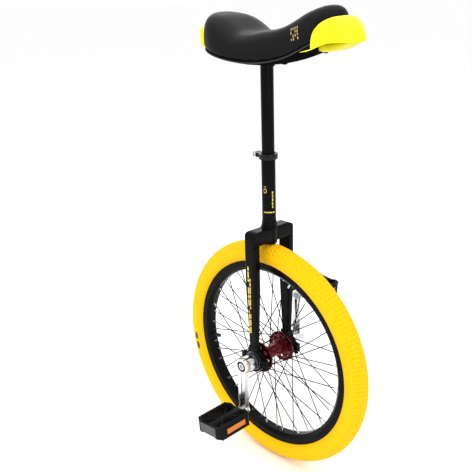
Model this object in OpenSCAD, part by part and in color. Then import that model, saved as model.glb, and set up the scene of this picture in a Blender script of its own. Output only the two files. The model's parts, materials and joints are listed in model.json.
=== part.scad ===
// Unicycle, millimetres.
// +X is the way the rider faces, +Y the rider's left, +Z up.
// The origin is the point where the tyre meets the ground.

/* [Wheel] */
// Bead seat diameter of the rim
bead_d = 406; // [305:1:500]
// Width of the inflated tyre
tyre_w = 47.2; // [42:0.1:60]
// Casing thickness of the tyre
tyre_wall = 3; // [2:0.1:4]
// Overall width of the rim
rim_w = 28.2; // [26:0.1:32]
// Wall thickness of the rim
rim_wall = 1.8; // [1.4:0.1:2.2]
// Height of the rim from its spoke side to its flange edge
rim_h = 21.5; // [19:0.5:26]
// Number of spokes
spoke_count = 48; // [48:24:72]
// Diameter of a spoke
spoke_d = 2; // [1.8:0.1:2.3]
// Side step of the spoke holes in the rim, from its middle
spoke_rim_y = 3; // [2:0.5:4]

/* [Hub and bearings] */
// Radius of a hub flange
flange_r = 34; // [33:0.5:42]
// Thickness of a hub flange
flange_t = 4; // [3:0.5:5]
// Distance between the middles of the two flanges
flange_gap = 66; // [52:1:68]
// Radius of the hub barrel
barrel_r = 14; // [13:0.5:18]
// Diameter of the axle where the bearings sit
axle_d = 20; // [18:0.5:22]
// Outside diameter of a bearing
bearing_od = 42; // [41:0.5:47]
// Width of a bearing
bearing_w = 12; // [11:0.5:13]
// Distance between the middles of the two bearings
bearing_gap = 100; // [96:1:125]
// Number of balls in a bearing
ball_count = 9; // [6:1:9]

/* [Frame] */
// Width of a fork leg at its top, front to back
leg_top_x = 30; // [29:0.5:40]
// Thickness of a fork leg at its top, side to side
leg_top_y = 18; // [17:0.5:24]
// Width of a fork leg at its foot, front to back
leg_foot_x = 21; // [18:0.5:28]
// Thickness of a fork leg at its foot, side to side
leg_foot_y = 11; // [9:0.5:13]
// Length of a leg's straight upper part
leg_straight = 95; // [60:1:140]
// Height of the crown tube
crown_h = 30; // [26:0.5:38]
// Wall thickness of the frame tubes
frame_wall = 2; // [1.5:0.1:3]
// Outside diameter of the seat tube
seat_tube_d = 28.6; // [28:0.1:32]
// Length of the seat tube above the crown
seat_tube_len = 150; // [120:1:200]
// Gap between the tyre and the foot of the seat tube
tyre_gap = 3; // [2:0.5:20]

/* [Seat post and clamp] */
// Diameter of the seat post
post_d = 25.4; // [22:0.1:25.4]
// Length of the seat post
post_len = 297; // [260:1:400]
// Length of post between the seat tube and the saddle
post_out = 177; // [140:1:190]
// Radius of the clamp collar
clamp_r = 19; // [18:0.5:24]
// Height of the clamp collar
clamp_h = 11; // [10:0.5:18]
// Distance of the clamp bolt from the post's axis
clamp_bolt_x = 28; // [26:0.5:32]

/* [Saddle] */
// Length of the padded top behind the post
saddle_rear = 137; // [125:1:165]
// Length of the padded top in front of the post
saddle_front = 180; // [160:1:200]
// Width of the saddle at the back
saddle_rear_w = 152; // [140:1:180]
// Width of the saddle at the nose
saddle_nose_w = 100; // [92:1:120]
// Height of the seat's low point above the saddle's underside
seat_low = 61; // [50:1:75]
// Rise of the back above the seat's low point
rear_rise = 35; // [20:1:45]
// Rise of the nose above the seat's low point
nose_rise = 44; // [30:1:50]
// Thickness of the saddle's plastic base
base_t = 5; // [4:0.5:7]
// Thickness of the saddle's cover
cover_t = 1.6; // [1:0.1:2.5]
// Thickness of the bumpers
bumper_t = 4; // [3:0.5:6]

/* [Cranks and pedals] */
// Length of a crank between its two axes
crank_len = 105; // [89:1:140]
// Thickness of a crank arm
crank_t = 11; // [10:0.5:14]
// Distance from the wheel's middle plane to a crank's outer face
crank_out = 92; // [87:0.5:110]
// Length of a pedal along its axle
pedal_len = 88; // [80:1:110]
// Width of a pedal across its axle
pedal_w = 76; // [66:1:95]
// Height of a pedal
pedal_h = 27; // [26:0.5:32]
// Angle that the right pedal's front edge is turned down by
pedal_tilt_right = -6; // [-20:1:20]
// Angle that the left pedal's front edge is turned down by
pedal_tilt_left = 5; // [-20:1:20]

/* [Fit] */
// Radial clearance between pieces that are fixed together
fit = 0.02; // [0.01:0.01:0.05]
// Radial clearance of a shaft or post that turns or slides
running = 0.05; // [0.03:0.01:0.1]
// Gap between soft or curved pieces that lie against each other
seat_gap = 0.3; // [0.2:0.1:0.6]

/* [Hidden] */
$fn = 64;

right = -1;
left = 1;

// Wheel: radii from the axle, and half widths from the middle plane
bead_r = bead_d / 2;
tyre_r = bead_r + tyre_w + 1.8;
casing_r = tyre_w / 2;
casing_at = tyre_r - casing_r;
rim_edge_r = bead_r + 7.5;
rim_in_r = rim_edge_r - rim_h;
rim_bed_r = bead_r - 2;
rim_half = rim_w / 2;
rim_well = rim_half - rim_wall;
bead_half = rim_well - 0.2;
bead_in = 8.2;
tape_t = 0.8;
tube_wall = 1.2;
axle_z = tyre_r;

// Spokes: three-cross, so a spoke ends three hole pairs round the hub from where it starts
spoke_step = 360 / spoke_count;
spoke_cross = 6 * spoke_step;
spoke_circle_r = flange_r - 3.5;
spoke_r = spoke_d / 2;
spoke_lift = spoke_r + 0.15;
spoke_lift_out = spoke_r + 1.3;
spoke_top_r = rim_in_r + rim_wall;
nipple_len = 13;
nipple_r = 2;
valve_angle = 180 + spoke_step;
valve_r = 3.9;

// Hub, along the axle
flange_y = flange_gap / 2;
hub_half = flange_y + flange_t / 2 + 0.5;
bearing_y = bearing_gap / 2;
axle_r = axle_d / 2;
stub_r = 8.5;
crank_boss_in = bearing_y + bearing_w / 2 + 2;
crank_in = crank_out - crank_t;
ball_r = 3.175;
ring_mid_r = (axle_r + fit + bearing_od / 2) / 2;
ring_lip = 1.8;

// Bearing holders
holder_r = bearing_od / 2 + 4;
holder_w = bearing_w + 2;
holder_ear_x = holder_r + 9.5;
holder_bolt_x = bearing_od / 2 + 7.5;
holder_split = 0.8;
holder_ear_h = 9;
neck_top = axle_z + holder_r + 9;
cap_bolt_r = 2.5;

// Frame
seat_tube_foot = 2 * tyre_r + tyre_gap;
crown_z = seat_tube_foot + 3;
crown_top = crown_z + crown_h;
seat_tube_top = crown_top + seat_tube_len;
leg_y = bearing_y + 0.5;
crown_half = leg_y + leg_top_y / 2;
seat_tube_r = seat_tube_d / 2;
post_r = post_d / 2;
post_top = seat_tube_top + post_out;
clamp_z = seat_tube_top - clamp_h + 2;

// Saddle: heights are measured from the plate on top of the post
plate_t = 3;
plate_x = 40;
plate_y = 26;
stud_x = 30;
stud_y = 17;
plate_recess = 9;
tray_wall = 4;
plate_z = post_top + plate_t;
saddle_z = plate_z - plate_recess;
under_r = 285;
rear_x = -saddle_rear;
nose_x = saddle_front;
rear_mid_x = rear_x + 78;
nose_mid_x = nose_x - 70;
rear_half = saddle_rear_w / 2;
nose_half = saddle_nose_w / 2;
low_x = 19;
rear_top_x = rear_x + 40;
nose_top_x = nose_x - 20;
base_nose_x = nose_x - 32;

// Bumpers
bumper_low = 46;
bumper_high = 88;
flare = 33;
handle_half = 22;
handle_t = 6;
rear_bumper_out = 8;
tab_t = 4;
screw_front_x = base_nose_x - 16;
screw_rear_x = rear_x + 18;
screw_y = 12;

// Pedals, along the pedal axle from the crank's outer face
pedal_gap = 10;
pedal_axle_r = 5.5;
pedal_thread_r = 7.1;
bush_r = 8;
bush_len = 10;
pedal_barrel_r = 10.5;
pedal_flare_r = 13;
pedal_rail = 7;
pedal_end = 5;
pedal_dip = 4;
pedal_web_t = 2.4;
reflector_len = 54;
reflector_h = 15;
reflector_t = 4;
pedal_in = crank_out + pedal_gap;
pedal_out = pedal_in + pedal_len;

// Points of an elliptical arc about (cx, cy)
function arc(cx, cy, rx, ry, a0, a1, n = 12) =
    [for (i = [0:n]) let (a = a0 + (a1 - a0) * i / n) [cx + rx * cos(a), cy + ry * sin(a)]];
// Points of a smooth step between two points, without its two ends
function ease(p, q, n = 12) =
    [for (i = [1:n - 1]) let (t = i / n)
        [p.x + (q.x - p.x) * t, p.y + (q.y - p.y) * (1 - cos(180 * t)) / 2]];
function flip_y(pts) = [for (i = [len(pts) - 1:-1:0]) [pts[i].x, -pts[i].y]];
// Outline of a rectangle of w by h with corners of radius r
function round_rect(w, h, r, n = 6) = let (x = w / 2 - r, y = h / 2 - r)
    concat(arc(x, y, r, r, 0, 90, n), arc(-x, y, r, r, 90, 180, n),
           arc(-x, -y, r, r, 180, 270, n), arc(x, -y, r, r, 270, 360, n));

// A rod of radius r from point a to point b
module rod(a, b, r) {
    v = b - a;
    translate(a) rotate([0, acos(v.z / norm(v)), atan2(v.y, v.x)]) cylinder(r = r, h = norm(v));
}
// A cylinder or ring about the Y axis, between y0 and y1
module disc_y(r, y0, y1, bore = 0) {
    translate([0, min(y0, y1), 0]) rotate([-90, 0, 0]) difference() {
        cylinder(r = r, h = abs(y1 - y0));
        if (bore > 0) translate([0, 0, -1]) cylinder(r = bore, h = abs(y1 - y0) + 2);
    }
}
// A box given by two opposite corners
module block(a, b) { translate(a) cube(b - a); }
module at_axle() { translate([0, 0, axle_z]) children(); }
// Turns the section of a ring, drawn as radius and width, round the wheel's axle
module ring_y(y = 0) { translate([0, y, 0]) rotate([-90, 0, 0]) rotate_extrude($fn = 128) children(); }
// Puts a piece drawn along +X at an angle round the wheel
module round_wheel(angle) { rotate([0, -angle, 0]) children(); }

// ---- wheel ----
module tyre() {
    color("gold") at_axle() ring_y() difference() {
        union() {
            intersection() {
                translate([casing_at, 0]) circle(r = casing_r);
                translate([rim_edge_r + seat_gap, -tyre_w]) square([tyre_r, 2 * tyre_w]);
            }
            translate([bead_r + 0.2, -bead_half]) square([rim_edge_r - bead_r + 1, 2 * bead_half]);
        }
        translate([casing_at, 0]) circle(r = casing_r - tyre_wall);
        translate([bead_r - 5, -bead_in]) square([casing_at - bead_r, 2 * bead_in]);
    }
}
module inner_tube() {
    color("dimgray") at_axle() ring_y() translate([casing_at, 0]) difference() {
        circle(r = casing_r - tyre_wall - seat_gap);
        circle(r = casing_r - tyre_wall - seat_gap - tube_wall);
    }
}
module valve_hole(r) { at_axle() round_wheel(valve_angle) rod([rim_in_r - 5, 0, 0], [bead_r + 6, 0, 0], r); }
module rim_tape() {
    color("gray") difference() {
        at_axle() ring_y() translate([rim_bed_r + fit, -bead_in + 0.4]) square([tape_t, 2 * bead_in - 0.8]);
        valve_hole(valve_r + 0.3);
    }
}
module rim() {
    shoulder = 7;
    floor_half = rim_half - 6;
    color("black") difference() {
        at_axle() ring_y() difference() {
            polygon([[rim_in_r, -floor_half], [rim_in_r + shoulder, -rim_half], [rim_edge_r, -rim_half],
                     [rim_edge_r, rim_half], [rim_in_r + shoulder, rim_half], [rim_in_r, floor_half]]);
            translate([rim_bed_r, -rim_well]) square([rim_h, 2 * rim_well]);
            polygon([[rim_in_r + rim_wall, -floor_half + 1], [rim_in_r + shoulder, -rim_well],
                     [rim_bed_r - rim_wall, -rim_well], [rim_bed_r - rim_wall, rim_well],
                     [rim_in_r + shoulder, rim_well], [rim_in_r + rim_wall, floor_half - 1]]);
        }
        valve_hole(valve_r + 0.3);
        for (k = [0:spoke_count - 1])
            rod(spoke_at(k, -0.05), spoke_at(k, 0.05), nipple_r + 0.25);
    }
}

// Spoke k runs from the hub flange to the rim. Even ones are on the left, odd ones on the right,
// and on each side every other spoke leans the other way, from the other face of its flange.
function spoke_side(k) = k % 2 == 0 ? left : right;
function spoke_lean(k) = (floor(k / 2) + (k % 2 == 0 ? 1 : 0)) % 2 == 0 ? 1 : -1;
function spoke_face_y(k) =
    flange_y + (spoke_lean(k) > 0 ? flange_t / 2 + spoke_lift_out : -flange_t / 2 - spoke_lift);
function spoke_hub(k) = let (a = spoke_step * (k + 0.5) + spoke_cross * spoke_lean(k))
    [spoke_circle_r * cos(a), spoke_side(k) * spoke_face_y(k), axle_z + spoke_circle_r * sin(a)];
function spoke_rim(k) = let (a = spoke_step * (k + 0.5))
    [spoke_top_r * cos(a), spoke_side(k) * spoke_rim_y, axle_z + spoke_top_r * sin(a)];
// The point at a share of the spoke's length past its rim end
function spoke_at(k, past) = spoke_rim(k) + past * (spoke_rim(k) - spoke_hub(k));
function along(a, b, d) = a + d * (b - a) / norm(b - a);

module spoke(k) {
    hub = spoke_hub(k);
    across = [0, -spoke_side(k) * spoke_lean(k), 0];
    far = hub + across * (flange_t + spoke_lift + (spoke_lean(k) > 0 ? spoke_lift_out : spoke_lift));
    rod(hub, spoke_rim(k), spoke_r);
    translate(hub) sphere(r = spoke_r + 0.12, $fn = 24);
    rod(hub, far, spoke_r);
    rod(far - across * 0.2, far + across * 0.9, spoke_r * 1.9);
}
module spokes(side) {
    color("black") for (k = [0:spoke_count - 1]) if (spoke_side(k) == side) spoke(k);
}
module spoke_nipples() {
    color("silver") for (k = [0:spoke_count - 1]) {
        top = spoke_rim(k);
        difference() {
            union() {
                rod(along(top, spoke_hub(k), nipple_len), along(top, spoke_hub(k), -1), nipple_r);
                rod(along(top, spoke_hub(k), -0.75), along(top, spoke_hub(k), -2.5), nipple_r + 1);
            }
            rod(along(top, spoke_hub(k), nipple_len + 1), along(top, spoke_hub(k), -3), spoke_r + fit);
        }
    }
}
module valve_stem() {
    color("dimgray") at_axle() round_wheel(valve_angle) {
        rod([rim_in_r - 12, 0, 0], [casing_at - casing_r + tyre_wall, 0, 0], valve_r);
        rod([rim_in_r - 18, 0, 0], [rim_in_r - 11, 0, 0], valve_r - 1);
    }
}
module valve_cap() {
    color("black") at_axle() round_wheel(valve_angle) difference() {
        rod([rim_in_r - 20, 0, 0], [rim_in_r - 12 - seat_gap, 0, 0], valve_r + 0.4);
        rod([rim_in_r - 18 - seat_gap, 0, 0], [rim_in_r - 10, 0, 0], valve_r - 1 + running);
    }
}
module hub_shell() {
    windows = 8;
    color("darkred") at_axle() difference() {
        union() {
            disc_y(barrel_r, -hub_half, hub_half);
            for (side = [right, left]) {
                disc_y(flange_r, side * (flange_y - flange_t / 2), side * (flange_y + flange_t / 2));
                disc_y(barrel_r + 4, side * (flange_y - flange_t / 2 - 3), side * hub_half);
            }
        }
        disc_y(axle_r + fit, -hub_half - 1, hub_half + 1);
        for (a = [0:360 / windows:359]) round_wheel(a) translate([flange_r - 11.5, 0, 0])
            disc_y(4, -hub_half - 1, hub_half + 1);
        for (k = [0:spoke_count - 1]) {
            a = spoke_step * (k + 0.5) + spoke_cross * spoke_lean(k);
            round_wheel(a) translate([spoke_circle_r, 0, 0])
                disc_y(spoke_r + 0.1, spoke_side(k) * (flange_y - flange_t),
                    spoke_side(k) * (flange_y + flange_t));
        }
    }
}
module hub_axle() {
    color("silver") at_axle() difference() {
        union() {
            disc_y(axle_r, -bearing_y - bearing_w / 2 - 1, bearing_y + bearing_w / 2 + 1);
            disc_y(stub_r, -crank_out + 6, crank_out - 6);
        }
        for (side = [right, left]) disc_y(4, side * (bearing_y - 2), side * crank_out);
    }
}
module axle_spacers() {
    color("silver") at_axle() for (side = [right, left]) {
        disc_y(axle_r + 3.5, side * hub_half, side * (bearing_y - bearing_w / 2), axle_r + fit);
        difference() {
            disc_y(axle_r + 3.5, side * (bearing_y + bearing_w / 2), side * crank_boss_in, stub_r + fit);
            disc_y(axle_r + fit, side * (bearing_y), side * (bearing_y + bearing_w / 2 + 1.02));
        }
    }
}

// ---- wheel bearings ----
module bearing_ring(side, r_in, r_out) {
    color("silver") at_axle() ring_y(side * bearing_y) difference() {
        translate([r_in, -bearing_w / 2]) square([r_out - r_in, bearing_w]);
        translate([ring_mid_r, 0]) circle(r = ball_r + running);
    }
}
module bearing_inner_ring(side) { bearing_ring(side, axle_r + fit, ring_mid_r - ring_lip); }
module bearing_outer_ring(side) { bearing_ring(side, ring_mid_r + ring_lip, bearing_od / 2); }
module bearing_seals() {
    color("black") at_axle() for (side = [right, left], face = [-1, 1]) {
        y = side * bearing_y + face * (bearing_w / 2 - 0.4);
        disc_y(ring_mid_r + ring_lip - fit, y, y - face, ring_mid_r - ring_lip + 2 * running);
    }
}
module ball_at(i) { round_wheel(i * 360 / ball_count + 90) translate([ring_mid_r, 0, 0]) children(); }
module bearing_balls(side) {
    color("silver") at_axle() translate([0, side * bearing_y, 0])
        for (i = [0:ball_count - 1]) ball_at(i) sphere(r = ball_r);
}
module bearing_cage(side) {
    color("goldenrod") at_axle() translate([0, side * bearing_y, 0]) difference() {
        disc_y(ring_mid_r + 1, -ball_r - 0.8, ball_r + 0.8, ring_mid_r - 1);
        for (i = [0:ball_count - 1]) ball_at(i) rod([-3, 0, 0], [3, 0, 0], ball_r + 2 * running);
    }
}

// ---- frame ----
module bearing_holder(side) {
    color("black") difference() {
        union() {
            at_axle() disc_y(holder_r, side * (bearing_y - holder_w / 2), side * (bearing_y + holder_w / 2));
            translate([0, side * bearing_y, 0]) {
                block([-holder_ear_x, -holder_w / 2 + 1, axle_z],
                      [holder_ear_x, holder_w / 2 - 1, axle_z + holder_ear_h]);
                block([-leg_foot_x / 2 - 1, -holder_w / 2, axle_z],
                      [leg_foot_x / 2 + 1, holder_w / 2, neck_top]);
            }
        }
        at_axle() disc_y(bearing_od / 2 + fit, side * (bearing_y - holder_w), side * (bearing_y + holder_w));
        block([-3 * holder_r, -crank_out, 0], [3 * holder_r, crank_out, axle_z + holder_split / 2]);
        cap_bolt_holes(side, cap_bolt_r + fit);
    }
}
module bearing_cap(side) {
    color("black") difference() {
        union() {
            at_axle() disc_y(holder_r, side * (bearing_y - holder_w / 2), side * (bearing_y + holder_w / 2));
            translate([0, side * bearing_y, 0])
                block([-holder_ear_x, -holder_w / 2 + 1, axle_z - holder_ear_h],
                      [holder_ear_x, holder_w / 2 - 1, axle_z]);
        }
        at_axle() disc_y(bearing_od / 2 + fit, side * (bearing_y - holder_w), side * (bearing_y + holder_w));
        block([-3 * holder_r, -crank_out, axle_z - holder_split / 2],
              [3 * holder_r, crank_out, 2 * axle_z]);
        cap_bolt_holes(side, cap_bolt_r + 0.3);
    }
}
module cap_bolt_holes(side, r) {
    for (x = [-holder_bolt_x, holder_bolt_x])
        rod([x, side * bearing_y, axle_z - 40], [x, side * bearing_y, axle_z + 40], r);
}
module bearing_cap_bolts() {
    foot = axle_z - holder_ear_h;
    color("black") for (side = [right, left], x = [-holder_bolt_x, holder_bolt_x])
        translate([x, side * bearing_y, 0]) difference() {
            union() {
                rod([0, 0, foot - 1], [0, 0, axle_z + holder_ear_h + 3], cap_bolt_r);
                rod([0, 0, foot - 5], [0, 0, foot], 4.4);
            }
            translate([0, 0, foot - 6]) cylinder(r = 2.3, h = 4, $fn = 6);
        }
}
module fork_leg(side) {
    taper_top = crown_z - leg_straight;
    grow = [leg_top_x / leg_foot_x, leg_top_y / leg_foot_y];
    corner = 3.6;
    color("black") translate([0, side * leg_y, 0]) {
        translate([0, 0, neck_top]) difference() {
            linear_extrude(height = taper_top - neck_top, scale = grow, slices = 1)
                polygon(round_rect(leg_foot_x, leg_foot_y, corner));
            translate([0, 0, -0.01])
                linear_extrude(height = taper_top - neck_top + 0.02, scale = grow, slices = 1)
                polygon(round_rect(leg_foot_x - 3.2, leg_foot_y - 3.2, corner - 1.5));
        }
        translate([0, 0, taper_top]) linear_extrude(height = leg_straight) difference() {
            polygon([for (p = round_rect(leg_foot_x, leg_foot_y, corner)) [p.x * grow.x, p.y * grow.y]]);
            polygon([for (p = round_rect(leg_foot_x - 3.2, leg_foot_y - 3.2, corner - 1.5))
                [p.x * grow.x, p.y * grow.y]]);
        }
    }
}
module crown_tube() {
    corner = 17;
    inner = crown_half - frame_wall;
    color("black") difference() {
        intersection() {
            rotate([90, 0, 0]) translate([0, crown_z + crown_h / 2, -crown_half])
                linear_extrude(height = 2 * crown_half) polygon(round_rect(leg_top_x, crown_h, 5));
            rotate([90, 0, 90]) translate([0, 0, -leg_top_x])
                linear_extrude(height = 2 * leg_top_x)
                    polygon(concat([[-crown_half, crown_z], [crown_half, crown_z]],
                        arc(crown_half - corner, crown_top - corner, corner, corner, 0, 90),
                        arc(corner - crown_half, crown_top - corner, corner, corner, 90, 180)));
            translate([0, 0, crown_z]) linear_extrude(height = crown_h)
                polygon(round_rect(leg_top_x, 2 * crown_half, 5.5));
        }
        rotate([90, 0, 90]) translate([0, 0, frame_wall - leg_top_x / 2])
            linear_extrude(height = leg_top_x - 2 * frame_wall)
                polygon(concat([[-inner, crown_z + frame_wall], [inner, crown_z + frame_wall]],
                    arc(crown_half - corner, crown_top - corner, corner - 2, corner - 2, 0, 90),
                    arc(corner - crown_half, crown_top - corner, corner - 2, corner - 2, 90, 180)));
        translate([0, 0, crown_z - 1]) cylinder(r = seat_tube_r + fit, h = crown_h + 2);
    }
}
module seat_tube() {
    slot = 2.5;
    color("black") difference() {
        translate([0, 0, seat_tube_foot]) cylinder(r = seat_tube_r, h = seat_tube_top - seat_tube_foot);
        translate([0, 0, seat_tube_foot - 1])
            cylinder(r = post_r + running, h = seat_tube_top - seat_tube_foot + 2);
        block([-2 * seat_tube_r, -slot / 2, seat_tube_top - 32], [0, slot / 2, seat_tube_top + 1]);
    }
}

// ---- seat clamp ----
module seat_clamp() {
    ear_x = clamp_bolt_x + 6.5;
    color("black") difference() {
        union() {
            translate([0, 0, clamp_z]) cylinder(r = clamp_r, h = clamp_h);
            block([-ear_x, -9, clamp_z + 1], [-seat_tube_r, 9, clamp_z + clamp_h - 1]);
        }
        translate([0, 0, clamp_z - 1]) cylinder(r = seat_tube_r + running, h = clamp_h + 2);
        block([-ear_x - 1, -1.5, clamp_z - 1], [0, 1.5, clamp_z + clamp_h + 1]);
        clamp_axis(-20, 20, 2.7);
        clamp_axis(-20, -7, 4.6);
    }
}
module clamp_axis(y0, y1, r) { translate([-clamp_bolt_x, 0, clamp_z + clamp_h / 2]) disc_y(r, y0, y1); }
module clamp_bolt() {
    color("silver") difference() {
        union() {
            clamp_axis(-7, 11, 2.5);
            clamp_axis(-12, -7, 4.4);
        }
        translate([-clamp_bolt_x, -13, clamp_z + clamp_h / 2])
            rotate([-90, 0, 0]) cylinder(r = 2.3, h = 4, $fn = 6);
    }
}
module clamp_nut() {
    color("silver") difference() {
        clamp_axis(9, 13, 4.4);
        clamp_axis(8, 14, 2.5 + fit);
    }
}

// ---- seat post and saddle ----
module seat_post() {
    color("black") translate([0, 0, post_top - post_len]) difference() {
        cylinder(r = post_r, h = post_len);
        translate([0, 0, -1]) cylinder(r = post_r - frame_wall, h = post_len + 2);
    }
}
module stud_places() { for (x = [-stud_x, stud_x], y = [-stud_y, stud_y]) translate([x, y, 0]) children(); }
module post_plate() {
    color("black") difference() {
        translate([0, 0, post_top]) linear_extrude(height = plate_t)
            polygon(round_rect(2 * plate_x, 2 * plate_y, 6));
        stud_places() translate([0, 0, post_top - 1]) cylinder(r = 3.3, h = plate_t + 2);
    }
}
module saddle_bolts() {
    color("silver") stud_places() {
        translate([0, 0, post_top - 6]) cylinder(r = 3, h = plate_t + 6 + base_t);
        translate([0, 0, plate_z + base_t]) cylinder(r = 6, h = 2.5);
    }
}
module saddle_nuts() {
    color("silver") stud_places() translate([0, 0, post_top - 5.5]) difference() {
        union() {
            cylinder(r = 5.6, h = 4.5, $fn = 6);
            translate([0, 0, 4]) cylinder(r = 6.4, h = 1.5);
        }
        translate([0, 0, -1]) cylinder(r = 3 + fit, h = 9);
    }
}

// Plan of the saddle, drawn in by d all round
function saddle_plan(d) = let (half = concat(
        arc(rear_mid_x, 0, rear_mid_x - rear_x - d, rear_half - d, 180, 90),
        ease([rear_mid_x, rear_half - d], [nose_mid_x, nose_half - d]),
        arc(nose_mid_x, 0, nose_x - nose_mid_x - d, nose_half - d, 90, 0)))
    concat(half, flip_y(half));
// The saddle's top line, drawn in by d
function saddle_top(d) = let (
        rear = saddle_z + seat_low + rear_rise - d,
        nose = saddle_z + seat_low + nose_rise - d,
        low = saddle_z + seat_low - d)
    concat(arc(rear_top_x, rear - 42 + d, rear_top_x - rear_x - d, 42 - d, 180, 90),
        ease([rear_top_x, rear], [low_x, low]), [[low_x, low]],
        ease([low_x, low], [nose_top_x, nose]),
        arc(nose_top_x, nose - 24 + d, nose_x - nose_top_x - d, 24 - d, 90, 0));
// The bowl that the saddle's underside follows, with its wall moved outwards by d
module bowl(d) { translate([0, 0, saddle_z + under_r]) sphere(r = under_r + d); }
// The padded body, drawn in by d, down to the bowl moved by floor. Its chin clears the finger gap.
module saddle_block(d, floor, over = 0) {
    chin = saddle_z + 43 - over;
    chin_x = base_nose_x + over / 4;
    intersection() {
        rotate([90, 0, 0]) translate([0, 0, -rear_half]) linear_extrude(height = 2 * rear_half)
            polygon(concat(saddle_top(d), [[nose_x - d, chin + 36], [base_nose_x + 24, chin + 26],
                [chin_x, chin], [chin_x, post_top - 10], [rear_x + d, post_top - 10]]));
        translate([0, 0, post_top - 10]) linear_extrude(height = 200) polygon(saddle_plan(d));
        bowl(floor);
    }
}
// Room for the tray over the post's plate and for the bolt heads
module tray_room() {
    grow = tray_wall + seat_gap;
    block([-plate_x - grow, -plate_y - grow, post_top - 10],
          [plate_x + grow, plate_y + grow, plate_z + base_t + seat_gap]);
    stud_places() translate([0, 0, plate_z]) cylinder(r = 7, h = base_t + 3);
}
module saddle_foam() {
    color("lightgray") difference() {
        saddle_block(cover_t, -base_t - seat_gap);
        tray_room();
    }
}
module saddle_cover() {
    color([0.13, 0.13, 0.14]) difference() {
        saddle_block(0, 0);
        saddle_block(cover_t - 0.05, 8, 8);
    }
}
module saddle_base() {
    inset = cover_t + seat_gap;
    color("black") difference() {
        union() {
            intersection() {
                translate([0, 0, post_top - 10]) linear_extrude(height = 90) intersection() {
                    polygon(saddle_plan(inset));
                    translate([rear_x, -rear_half]) square([base_nose_x - seat_gap - rear_x, 2 * rear_half]);
                }
                difference() {
                    bowl(0);
                    bowl(-base_t);
                }
            }
            intersection() {
                block([-plate_x - tray_wall, -plate_y - tray_wall, saddle_z - 1],
                      [plate_x + tray_wall, plate_y + tray_wall, plate_z + base_t]);
                bowl(0);
            }
        }
        block([-plate_x - 1, -plate_y - 1, saddle_z - 10], [plate_x + 1, plate_y + 1, plate_z]);
        stud_places() translate([0, 0, plate_z - 1]) cylinder(r = 3 + fit, h = 20);
        bumper_screw_places() translate([0, 0, -6]) cylinder(r = 2 + fit, h = base_t + 5);
    }
}

// ---- bumpers ----
// Plan of the nose, grown by gx forward and gy to the sides
function nose_plan(gx, gy) = concat([[nose_mid_x - 40, nose_half + gy]],
    arc(nose_mid_x, 0, nose_x - nose_mid_x + gx, nose_half + gy, 90, -90, 36),
    [[nose_mid_x - 40, -nose_half - gy]]);
// The bumper swells from its top edge to its lip; each row is a height, forward and side growth
nose_levels = [[bumper_low - 20, flare, 8], [bumper_low, flare, 8], [bumper_high - 20, 0.85 * flare, 6.5],
    [bumper_high - 6, 0.56 * flare, 5], [bumper_high, 4, 4]];
// A solid through the nose's plans at those heights, drawn in by d and run on by over at both ends
module flared_nose(d, over) {
    n = len(nose_plan(0, 0));
    rows = len(nose_levels);
    run_on = [-over, 0, 0, 0, over];
    points = [for (r = [0:rows - 1]) let (l = nose_levels[r])
        for (p = nose_plan(l[1] - d, l[2] - d)) [p.x, p.y, saddle_z + l[0] + run_on[r]]];
    sides = [for (r = [0:rows - 2], i = [0:n - 1]) let (a = r * n + i, b = r * n + (i + 1) % n)
        each [[a, b, a + n], [b, b + n, a + n]]];
    low_end = [for (i = [n - 1:-1:0]) i];
    high_end = [for (i = [0:n - 1]) (rows - 1) * n + i];
    polyhedron(points, concat([high_end], sides, [low_end]));
}
// A tab under the base between x0 and x1, which the bumper's screws hold
module bumper_tab(x0, x1) {
    intersection() {
        block([x0, -handle_half, saddle_z - 10], [x1, handle_half, saddle_z + 80]);
        difference() {
            bowl(tab_t);
            bowl(seat_gap / 2);
        }
    }
}
// The finger strap runs forward from the base's nose to the bumper's lip
module handle_strap() {
    lip_x = nose_x + flare - 2;
    low = saddle_z + under_r - sqrt(pow(under_r, 2) - pow(base_nose_x, 2)) - handle_t;
    rotate([90, 0, 0]) translate([0, 0, -handle_half]) linear_extrude(height = 2 * handle_half)
        polygon([[base_nose_x + seat_gap, low], [lip_x, low + 11], [lip_x, low + 18], [lip_x - 8, low + 17],
            [base_nose_x + 4, low + handle_t]]);
}
module front_bumper() {
    back_x = nose_mid_x + 41;
    side_low = 30;
    arch_x = nose_x + 5;
    arch_z = bumper_high - 33;
    color("yellow") difference() {
        union() {
            intersection() {
                difference() {
                    flared_nose(0, 0);
                    flared_nose(bumper_t - 0.6, 1);
                }
                rotate([90, 0, 0]) translate([0, 0, -rear_half]) linear_extrude(height = 2 * rear_half)
                    polygon(concat([[nose_x + 50, saddle_z + bumper_low],
                            [nose_x - 10, saddle_z + bumper_low - 2], [back_x - 20, saddle_z + side_low],
                            [back_x, saddle_z + side_low + 8]],
                        arc(arch_x, saddle_z + arch_z, arch_x - back_x, bumper_high - arch_z, 180, 90),
                        [[nose_x + 50, saddle_z + bumper_high]]));
            }
            handle_strap();
            bumper_tab(screw_front_x - 12, base_nose_x + 4);
        }
        bumper_screw_places() translate([0, 0, -20]) cylinder(r = 2 + fit, h = 40);
    }
}
module rear_bumper() {
    grow = rear_mid_x - rear_x;
    color("yellow") difference() {
        union() {
            translate([0, 0, saddle_z + 29]) linear_extrude(height = 42) difference() {
                polygon(arc(rear_mid_x, 0, grow + rear_bumper_out, rear_half + 4, 136, 224, 24));
                polygon(saddle_plan(-seat_gap));
            }
            bumper_tab(rear_x - 3, screw_rear_x + 10);
        }
        bumper_screw_places() translate([0, 0, -20]) cylinder(r = 2 + fit, h = 40);
    }
}
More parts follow.
